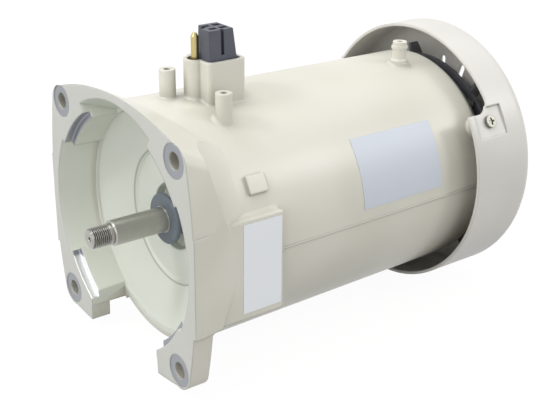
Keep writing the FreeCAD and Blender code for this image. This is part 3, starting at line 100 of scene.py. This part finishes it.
def maths(tree, operation, *terms):
    """What a maths node makes of its terms, which are sockets or numbers."""
    made = add_node(tree, "ShaderNodeMath", operation=operation)
    for place, term in enumerate(terms):
        if isinstance(term, float):
            made.inputs[place].default_value = term
        else:
            tree.links.new(term, made.inputs[place])
    return made.outputs[0]


def direct_rays(tree):
    """One for rays that come from the camera, off metal or through glass, and none for the rest."""
    rays = add_node(tree, "ShaderNodeLightPath").outputs
    direct = maths(tree, "MAXIMUM", rays["Is Camera Ray"], rays["Is Glossy Ray"])
    return maths(tree, "MAXIMUM", direct, rays["Is Transmission Ray"])


def surface(tree, shader):
    """Makes a shader the material's surface."""
    add_node(tree, "ShaderNodeOutputMaterial", {}, {"Surface": shader.outputs[0]})


WHITE = (1.0, 1.0, 1.0, 1.0)
motor_middle = Vector((0.0, 0.12, 0.0))
floor_reach, floor_glow, glow_share = 6.0, 1.19, 0.80
bpy.ops.object.select_all(action="DESELECT")
bpy.ops.mesh.primitive_plane_add(size=floor_reach, location=(0.0, motor_middle.y, cad_box[0].z))
floor = bpy.context.object
floor.name = "studio_floor"
material, tree = new_material("matt_white_paper")
paper = add_node(tree, "ShaderNodeBsdfDiffuse", {"Color": linear("#A2A2A0")})
glow = add_node(tree, "ShaderNodeEmission", {"Color": WHITE, "Strength": floor_glow})
seen = maths(tree, "MULTIPLY", direct_rays(tree), glow_share)
both = add_node(tree, "ShaderNodeMixShader", {}, {0: seen, 1: paper.outputs[0], 2: glow.outputs[0]})
surface(tree, both)
floor.data.materials.append(material)


# Light: a soft lamp above and to the left, a small bright one above the flange, which draws the
# highlight along the shaft, one in front, one behind, and a white room. The room is dimmer to the
# motor than it looks behind it.
def ramp(tree, value, low, high, to_low=0.0, to_high=1.0, **settings):
    """A value carried from one range to another."""
    ends = {"From Min": low, "From Max": high, "To Min": to_low, "To Max": to_high}
    return add_node(tree, "ShaderNodeMapRange", ends, {"Value": value}, **settings).outputs[0]


lamps = [
    ("lamp_above", (-0.35, -0.10, 1.35), 0.7, 5.2),
    ("lamp_flange", (-0.25, -0.95, 1.00), 0.28, 4.0),
    ("lamp_front", (0.55, -1.30, 0.55), 1.0, 4.0),
    ("lamp_rear", (0.90, 1.10, 0.80), 0.45, 4.0),
]
for name, place, size, power in lamps:
    lamp_data = bpy.data.lights.new(name, "AREA")
    lamp_data.size = size
    lamp_data.energy = power
    lamp = bpy.data.objects.new(name, lamp_data)
    bpy.context.scene.collection.objects.link(lamp)
    lamp.location = place
    aim = motor_middle - lamp.location
    lamp.rotation_mode = "QUATERNION"
    lamp.rotation_quaternion = aim.to_track_quat("-Z", "Y")
room_light = 0.71
world = bpy.data.worlds.new("white_room")
world.use_nodes = True
tree = world.node_tree
tree.nodes.clear()
strength = ramp(tree, direct_rays(tree), 0.0, 1.0, room_light, 1.0)
room = add_node(tree, "ShaderNodeBackground", {"Color": WHITE}, {"Strength": strength})
add_node(tree, "ShaderNodeOutputWorld", {}, {"Surface": room.outputs[0]})
bpy.context.scene.world = world
bpy.context.scene.view_settings.view_transform = "Standard"


# Housing: die-cast aluminium, sprayed with cream enamel over the as-cast skin. The spot faces round
# the bolt holes and the register on the four corner blocks are machined afterwards and stay bare.
def place_on_object(tree):
    """Where on its object a point of the surface lies."""
    return add_node(tree, "ShaderNodeTexCoord").outputs["Object"]


def rounded(tree, radius_mm, samples):
    """A surface normal that rounds the edges a little."""
    return add_node(tree, "ShaderNodeBevel", {"Radius": radius_mm / 1000.0}, samples=samples).outputs[0]


def noise(tree, where, size_mm, detail):
    """Noise with patches of about the size given."""
    values = {"Scale": 1000.0 / size_mm, "Detail": detail}
    return add_node(tree, "ShaderNodeTexNoise", values, {"Vector": where}).outputs["Fac"]


def waves(tree, where, scale, distortion, detail, **settings):
    """Wavy bands or rings across the Y axis."""
    values = {"Scale": scale, "Distortion": distortion, "Detail": detail}
    return add_node(tree, "ShaderNodeTexWave", values, {"Vector": where}, **settings).outputs["Fac"]


def bump(tree, height, strength, depth_mm, normal=None):
    """A surface normal pushed in and out by a height."""
    links = {"Height": height}
    if normal is not None:
        links["Normal"] = normal
    values = {"Strength": strength, "Distance": depth_mm / 1000.0}
    return add_node(tree, "ShaderNodeBump", values, links).outputs[0]


def blend(tree, factor, first, second):
    """A mix of two colours, which are sockets or RGBA values."""
    made = add_node(tree, "ShaderNodeMix", {}, {0: factor}, data_type="RGBA")
    for place, colour in ((6, first), (7, second)):
        if isinstance(colour, tuple):
            made.inputs[place].default_value = colour
        else:
            tree.links.new(colour, made.inputs[place])
    return made.outputs[2]


def all_of(tree, *masks):
    """The product of several masks."""
    whole = masks[0]
    for mask in masks[1:]:
        whole = maths(tree, "MULTIPLY", whole, mask)
    return whole


def paint(tree, where, soft, colours, peel_mm):
    """Sprayed enamel with a faint orange peel; its edges are painted paler, partly as wear and partly as
    painted highlight, and its corners darker as painted shade.
    """
    patch_mm, dent_mm, corner_shade_reach, smooth, dull = 45.0, 30.0, 0.016, 0.29, 0.41
    colour, patch_colour, edge_wear_and_highlight_colour, painted_shade_colour = (linear(each) for each in colours)
    patches = noise(tree, where, patch_mm, 0.0)
    shade = ramp(tree, patches, 0.25, 0.75, interpolation_type="SMOOTHERSTEP")
    tone = blend(tree, shade, colour, patch_colour)
    flat = add_node(tree, "ShaderNodeNewGeometry").outputs["Normal"]
    same = add_node(tree, "ShaderNodeVectorMath", {}, {0: soft, 1: flat}, operation="DOT_PRODUCT")
    # The edges are painted paler: partly the paint worn thin, partly a painted highlight
    edge_wear_and_highlight = ramp(tree, same.outputs["Value"], 0.99, 0.80, 0.0, 0.6)
    tone = blend(tree, edge_wear_and_highlight, tone, edge_wear_and_highlight_colour)
    # Painted shade: corners and creases are darkened where occlusion finds them shut in
    open_sky = add_node(tree, "ShaderNodeAmbientOcclusion", {"Distance": corner_shade_reach}, samples=8)
    painted_corner_shade = ramp(tree, open_sky.outputs["AO"], 0.25, 0.9, 0.7, 0.0)
    tone = blend(tree, painted_corner_shade, tone, painted_shade_colour)
    uneven = bump(tree, noise(tree, where, dent_mm, 0.0), 0.3, 0.3, soft)
    skin = bump(tree, noise(tree, where, peel_mm, 2.0), 0.22, 0.06, uneven)
    shader = add_node(
        tree, "ShaderNodeBsdfPrincipled", {"IOR": 1.5, "Specular IOR Level": 0.5},
        {"Base Color": tone, "Roughness": ramp(tree, patches, 0.0, 1.0, smooth, dull), "Normal": skin},
    )
    return shader, tone


edge_mm = 1.8
material, tree = new_material("cream_enamel_on_cast_aluminium")
where = place_on_object(tree)
soft = rounded(tree, edge_mm, 8)
# Its colours: the enamel, its patches, the pale edge of wear and painted highlight, and the painted shade
# of the corners
enamel, tone = paint(tree, where, soft, ("#E2E0D4", "#DBD9CC", "#F3F1E8", "#86847A"), 1.3)

# Inside the front cavity the enamel is painted lighter and cool green: painted light, standing in for a
# cool cast of the light and lifting the cavity's own shade
cavity_mouth, cavity_slope, face_edge = 0.0812, 0.347, 0.0006
cavity_light_full, cavity_light_gone, cavity_light_share = 0.045, 0.058, 0.8
split = add_node(tree, "ShaderNodeSeparateXYZ", {}, {0: where}).outputs
squares = maths(tree, "ADD", maths(tree, "POWER", split["X"], 2.0), maths(tree, "POWER", split["Z"], 2.0))
reach = maths(tree, "SQRT", squares)
wall = maths(tree, "MULTIPLY_ADD", split["Y"], cavity_slope, reach)
inside = ramp(tree, wall, cavity_mouth, cavity_mouth - 0.0004)
ahead = ramp(tree, split["Y"], cavity_light_gone, cavity_light_full)
behind = ramp(tree, split["Y"], 0.0, face_edge)
cavity_painted_light = all_of(tree, inside, ahead, behind, cavity_light_share)
tone = blend(tree, cavity_painted_light, tone, linear("#E4E9DF"))

# The front face is painted darker and cooler: painted shade, as the front faces take a dimmer, cooler light
face_shade_full, face_shade_share = 0.0002, 0.75
front_face_painted_shade = ramp(tree, split["Y"], face_edge, face_shade_full, 0.0, face_shade_share)
tone = blend(tree, front_face_painted_shade, tone, linear("#C9CCC6"))

# A dark ring is painted along the step round the hub: painted shade in the step
step_radius, step_width, step_shade_share = 0.0440, 0.0007, 0.75
off_step = maths(tree, "ABSOLUTE", maths(tree, "SUBTRACT", reach, step_radius))
step_painted_shade = ramp(tree, off_step, step_width, 0.3 * step_width, 0.0, step_shade_share)
tone = blend(tree, all_of(tree, step_painted_shade, cavity_painted_light), tone, linear("#8F9485"))

# A darker band is painted just under the parting seam, behind the side pads: painted shadow under the
# seam's ridge
seam_low, seam_high, seam_front, seam_shadow_share = -0.0015, -0.0006, 0.062, 0.7
seam_painted_shadow = ramp(tree, split["Z"], seam_low, seam_high, 0.0, seam_shadow_share)
capped = maths(tree, "LESS_THAN", split["Z"], seam_high)
past_pad = maths(tree, "GREATER_THAN", split["Y"], seam_front)
tone = blend(tree, all_of(tree, seam_painted_shadow, capped, past_pad), tone, linear("#98958A"))
tree.links.new(tone, enamel.inputs["Base Color"])

# Bare machined places: within a spot face of a bolt, or on a corner block's register. The lower left arc of
# the register
# is painted brighter: a painted highlight where it faces the light from above
bolt_place, bolt_bore, spot_face, spot_depth = 0.06509, 0.0053, 0.0102, 0.0009
register_edge, register_depth, block_side, block_height = 0.07465, 0.0052, 0.0340, 0.0350
highlight_from, highlight_full = -0.0400, -0.0415
mark_size = 0.0045
side = maths(tree, "ABSOLUTE", split["X"])
height = maths(tree, "ABSOLUTE", split["Z"])
off_x = maths(tree, "SUBTRACT", side, bolt_place)
off_z = maths(tree, "SUBTRACT", height, bolt_place)
from_bolt = add_node(tree, "ShaderNodeCombineXYZ", {}, {"X": off_x, "Z": off_z}).outputs[0]
bolt_reach = add_node(tree, "ShaderNodeVectorMath", {}, {0: from_bolt}, operation="LENGTH").outputs["Value"]
spot = all_of(
    tree,
    maths(tree, "LESS_THAN", bolt_reach, spot_face),
    maths(tree, "LESS_THAN", split["Y"], spot_depth),
    maths(tree, "GREATER_THAN", bolt_reach, bolt_bore),
)
block = all_of(
    tree,
    maths(tree, "LESS_THAN", reach, register_edge),
    maths(tree, "LESS_THAN", split["Y"], register_depth),
    maths(tree, "GREATER_THAN", side, block_side),
    maths(tree, "GREATER_THAN", height, block_height),
)
# Painted highlight: the lower left arc of the register is made brighter
lower_left_painted_highlight = all_of(
    tree,
    ramp(tree, split["Z"], highlight_from, highlight_full),
    maths(tree, "LESS_THAN", split["X"], 0.0),
    block,
)
turning = waves(tree, where, 1.0 / mark_size, 0.6, 1.0, wave_type="RINGS", rings_direction="Y")
facing = waves(tree, from_bolt, 1.0 / mark_size, 0.6, 1.0, wave_type="RINGS", rings_direction="Y")
marks = add_node(tree, "ShaderNodeMix", {}, {0: spot, 2: turning, 3: facing}, data_type="FLOAT").outputs[0]
bare = add_node(
    tree, "ShaderNodeBsdfPrincipled", {"Metallic": 0.85, "Roughness": 0.42},
    {"Base Color": blend(tree, lower_left_painted_highlight, linear("#A0A3A8"), linear("#F2F3F4")),
     "Normal": bump(tree, marks, 0.5, 0.04, soft)},
)
cut = maths(tree, "MAXIMUM", spot, block)
finish = add_node(tree, "ShaderNodeMixShader", {}, {0: cut, 1: enamel.outputs[0], 2: bare.outputs[0]})
surface(tree, finish)
nodes["motor_housing"].material_slots[0].material = material


# Fan cover: drawn steel, sprayed in a cooler white than the casting. Its edges, the cut rim among them, are
# painted paler in cream, partly as wear and partly as painted highlight, its corners carry painted shade,
# and three screws hold it to the barrel's lugs.
material, tree = new_material("white_enamel_on_drawn_steel")
# Its colours: the enamel, its patches, the pale cream edge of wear and painted highlight, and the painted
# shade of the corners
cover_colours = ("#E2E0DA", "#DAD8D2", "#ECE9DF", "#8E8C86")
shader = paint(tree, place_on_object(tree), rounded(tree, edge_mm, 8), cover_colours, 1.0)[0]
surface(tree, shader)
nodes["fan_cover"].material_slots[0].material = material


# Labels: blank polyester film with a matt print coat, laid on the painted casting. Their corners
# lie flat and the film has the faint waviness of the surface under it.
def label_film(name, colour, light_colour):
    """Blank label film with a fine grain and a slight cloud in its white."""
    material, tree = new_material(name)
    where = place_on_object(tree)
    tone = blend(tree, noise(tree, where, 30.0, 2.0), linear(colour), linear(light_colour))
    film = bump(tree, noise(tree, where, 0.6, 2.0), 0.12, 0.02)
    shader = add_node(
        tree, "ShaderNodeBsdfPrincipled", {"Roughness": 0.42, "IOR": 1.5},
        {"Base Color": tone, "Normal": film},
    )
    surface(tree, shader)
    return material


nodes["rating_label"].material_slots[0].material = label_film("blank_polyester_film", "#CED5E0", "#D5DAE3")
nodes["side_label"].material_slots[0].material = label_film("blank_satin_film", "#F6FAFF", "#FAFCFF")


# Shaft: ground steel with a 13 mm thread of 20 turns to the inch at its front end, which has a
# centre hole. It is turned between centres, so its surface has fine rings, and the thread starts on
# a chamfer and runs out before the shoulder.
thread_pitch, thread_outer, thread_inner = 0.00127, 0.0065, 0.0057
thread_start, thread_stop, thread_chamfer = -0.0196, -0.0065, 0.0008
centre_radius, centre_depth, centre_tip = 0.0017, 0.0019, 0.0003
thread_steps = 110

# Radius and place of each step of the shaft, from its front end to its rear end
shaft_rings = [
    (0.0, thread_start + centre_depth), (centre_tip, thread_start + centre_depth),
    (centre_radius, thread_start), (thread_inner - 0.0003, thread_start),
    (thread_outer, thread_start + thread_chamfer),
]
thread_length = thread_stop - thread_start - thread_chamfer
for step in range(1, thread_steps):
    shaft_rings.append((thread_outer, thread_start + thread_chamfer + thread_length * step / thread_steps))
shaft_rings += [
    (thread_outer, thread_stop), (0.0059, thread_stop), (0.0059, -0.0055), (0.0071375, -0.0055),
    (0.0079375, -0.0047), (0.0079375, 0.0310), (0.0085, 0.0310), (0.0085, 0.0490),
    (0.01248, 0.0490), (0.01248, 0.0640), (0.0150, 0.0640), (0.0150, 0.0700),
    (0.0160, 0.0700), (0.0160, 0.1870), (0.0110, 0.1870), (0.0110, 0.2260),
    (0.00848, 0.2260), (0.00848, 0.2505), (0.0060, 0.2505), (0.0060, 0.2625),
    (0.0050, 0.2625), (0.0050, 0.2637), (0.0060, 0.2637), (0.0060, 0.2650),
    (0.0055, 0.2655), (0.0, 0.2655),
]


def turned(name, rings, segments):
    """A body of revolution about the shaft's line: a ring is extruded and resized from place to place."""
    bpy.ops.object.select_all(action="DESELECT")
    radius, place = rings[1]
    bpy.ops.mesh.primitive_circle_add(
        vertices=segments, radius=radius, fill_type="NGON", location=(0.0, place, 0.0),
        rotation=(math.radians(90.0), 0.0, 0.0),
    )
    made = bpy.context.object
    made.name = name
    bpy.ops.object.transform_apply(location=True, rotation=True, scale=True)
    bpy.ops.object.mode_set(mode="EDIT")
    bpy.ops.mesh.select_all(action="SELECT")
    for next_radius, next_place in rings[2:-1]:
        bpy.ops.mesh.extrude_region_move(TRANSFORM_OT_translate={"value": (0.0, next_place - place, 0.0)})
        ratio = next_radius / radius
        bpy.ops.transform.resize(value=(ratio, 1.0, ratio), center_override=(0.0, next_place, 0.0))
        radius, place = next_radius, next_place
    bpy.ops.mesh.select_all(action="SELECT")
    bpy.ops.mesh.normals_make_consistent(inside=False)
    bpy.ops.object.mode_set(mode="OBJECT")
    return made


# The thread is a vee with a flat root, which fades out over its last turn and a half
round_steps, root_flat, fade_turns = 96, 1.25, 1.5
shaft = turned("turned_shaft", shaft_rings, round_steps)
for vertex in shaft.data.vertices:
    point = vertex.co
    radius = math.hypot(point.x, point.z)
    if point.y < thread_stop - 1e-6 and radius > thread_inner:
        turn = math.atan2(point.z, point.x) / (2.0 * math.pi)
        phase = ((point.y - thread_start) / thread_pitch - turn) % 1.0
        depth = min(abs(2.0 * phase - 1.0) * root_flat, 1.0)
        fade = min(1.0, max(0.0, (thread_stop - point.y) / (fade_turns * thread_pitch)))
        wanted = radius - (thread_outer - thread_inner) * depth * fade
        point.x, point.z = point.x * wanted / radius, point.z * wanted / radius
bpy.ops.object.select_all(action="DESELECT")
shaft.select_set(True)
bpy.context.view_layer.objects.active = shaft
bpy.ops.object.shade_smooth_by_angle(angle=math.radians(35.0))


# Radians in one wave of the turning marks
WAVE_TURN = 6.2832


def machined(name, colour, roughness, mark_mm, stretch=0.0, threaded=False):
    """Turned metal: fine rings round the shaft's line stretch its highlights, and on a thread the roots are
    painted darker as painted shade.
    """
    material, tree = new_material(name)
    where = place_on_object(tree)
    rings = add_node(
        tree, "ShaderNodeTexWave",
        {"Scale": 1000.0 / (mark_mm * WAVE_TURN), "Distortion": 1.5, "Detail": 2.0, "Detail Scale": 1.5},
        {"Vector": where}, wave_type="BANDS", bands_direction="Y",
    )
    stain_mm, stain_shade = 9.0, 0.84
    stains = noise(tree, where, stain_mm, 3.0)
    dark = tuple(stain_shade * part for part in linear(colour)[:3]) + (1.0,)
    tone = blend(tree, stains, linear(colour), dark)
    if threaded:
        flat = add_node(
            tree, "ShaderNodeVectorMath", {1: (1.0, 0.0, 1.0)}, {0: where}, operation="MULTIPLY"
        )
        out = add_node(tree, "ShaderNodeVectorMath", {}, {0: flat.outputs[0]}, operation="LENGTH")
        along = add_node(tree, "ShaderNodeSeparateXYZ", {}, {0: where}).outputs["Y"]
        # Painted shade: the thread is painted darker towards its roots, where the shade between the crests
        # falls
        thread_root_painted_shade = all_of(
            tree,
            ramp(tree, out.outputs["Value"], thread_outer - 0.00005, thread_inner, 0.0, 0.85),
            maths(tree, "LESS_THAN", along, thread_stop),
            maths(tree, "GREATER_THAN", along, thread_start + 0.0003),
        )
        tone = blend(tree, thread_root_painted_shade, tone, linear("#33322C"))
    shader = add_node(
        tree, "ShaderNodeBsdfPrincipled",
        {"Metallic": 1.0, "Anisotropic": stretch, "Anisotropic Rotation": 0.25},
        {"Base Color": tone,
         "Roughness": ramp(tree, stains, 0.0, 1.0, roughness - 0.08, roughness + 0.12),
         "Normal": bump(tree, rings.outputs["Fac"], 0.35, 0.02, rounded(tree, 0.3, 4)),
         "Tangent": add_node(tree, "ShaderNodeTangent", direction_type="RADIAL", axis="Y").outputs[0]},
    )
    surface(tree, shader)
    return material


shaft_finish = machined("turned_carbon_steel", "#BAB9B3", 0.33, 0.5, 0.85, True)
shaft.data.materials.append(shaft_finish)
nodes["shaft"].material_slots[0].material = shaft_finish
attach(shaft, "rotor")
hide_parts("shaft")


# Slinger and lip seal: moulded nitrile rubber, blue-black with a slight bloom. The slinger grips the
# shaft and the seal sits in the hub behind it.
def moulded(name, colour, light_colour, grain_mm, roughness, flow_mm=8.0, flow_detail=2.0,
            strength=0.25, edge_mm=0.4, ior=1.53):
    """Moulded rubber or plastic with a fine mould grain and softened edges."""
    material, tree = new_material(name)
    where = place_on_object(tree)
    flow = noise(tree, where, flow_mm, flow_detail)
    grain = noise(tree, where, grain_mm, 2.0)
    shader = add_node(
        tree, "ShaderNodeBsdfPrincipled", {"Roughness": roughness, "IOR": ior},
        {"Base Color": blend(tree, flow, linear(colour), linear(light_colour)),
         "Normal": bump(tree, grain, strength, 0.03, rounded(tree, edge_mm, 4))},
    )
    surface(tree, shader)
    return material


rubber = moulded(
    "moulded_nitrile_rubber", "#5C656E", "#727C85", 0.4, 0.5,
    flow_mm=6.0, flow_detail=3.0, strength=0.3, edge_mm=0.6, ior=1.52,
)
for piece in ("shaft_slinger", "front_shaft_seal"):
    nodes[piece].material_slots[0].material = rubber


# Connector, standoff, fan and magnets: glass-filled nylon for the connector, natural nylon for the
# standoff and polypropylene for the fan, all injection-moulded. The magnets are glued to the
# rotor's core and coated with epoxy.
mouldings = {
    "connector_body": ("glass_filled_nylon", "#484A54", "#5A5D69", 0.4, 0.45),
    "rear_standoff": ("natural_nylon", "#DDDACD", "#E4E2D6", 0.5, 0.38),
    "fan": ("black_polypropylene", "#515257", "#606166", 0.5, 0.42),
    "rotor_magnets": ("epoxy_coated_magnet", "#2B2B2E", "#37373A", 0.6, 0.5),
}
for piece, look in mouldings.items():
    nodes[piece].material_slots[0].material = moulded(*look)


# Metal fittings: zinc-plated screws, bearings of ground steel with pressed cages, a pressed retainer,
# spring and ring, brass contacts, cores of stacked sheet, aluminium end plates and a cast end bell.
fittings = {
    "zinc_plated_steel": (
        ("#98988F", 0.30, 0.4), ("end_bell_screws", "fan_cover_screws", "bearing_retainer_screws"),
    ),
    "ground_bearing_steel": (
        ("#C9C9C9", 0.16, 0.3),
        ("front_bearing_outer_race", "front_bearing_inner_race", "front_bearing_balls",
         "rear_bearing_outer_race", "rear_bearing_inner_race", "rear_bearing_balls"),
    ),
    "pressed_steel": (
        ("#9C9C9A", 0.34, 0.6),
        ("front_bearing_cage", "rear_bearing_cage", "front_bearing_retainer", "rear_wave_spring",
         "fan_retaining_ring"),
    ),
    "drawn_brass": (("#D2C28A", 0.30, 0.4), ("ground_pin", "connector_terminals")),
    "stacked_electrical_steel": (("#6C6E70", 0.45, 0.5), ("stator_core", "rotor_core")),
    "cut_aluminium": (("#C6C8CA", 0.32, 0.5), ("rotor_end_plates",)),
    "bare_cast_aluminium": (("#A9ABAD", 0.52, 1.5), ("rear_end_bell",)),
}
for name, (look, pieces) in fittings.items():
    finish = machined(name, *look)
    for piece in pieces:
        nodes[piece].material_slots[0].material = finish


# Windings: enamelled copper wire in the stator's slots, laced at both ends and dipped in varnish.
wire_width = 0.0009
material, tree = new_material("varnished_copper_wire")
wire_scale = 1.0 / (wire_width * WAVE_TURN)
strands = waves(tree, place_on_object(tree), wire_scale, 4.0, 2.0, wave_type="RINGS", rings_direction="Y")
shader = add_node(
    tree, "ShaderNodeBsdfPrincipled", {"Metallic": 0.55, "Roughness": 0.3, "Coat Weight": 0.4},
    {"Base Color": blend(tree, strands, linear("#5A2A12"), linear("#B4642F")),
     "Normal": bump(tree, strands, 0.9, 0.3)},
)
surface(tree, shader)
nodes["stator_windings"].material_slots[0].material = material
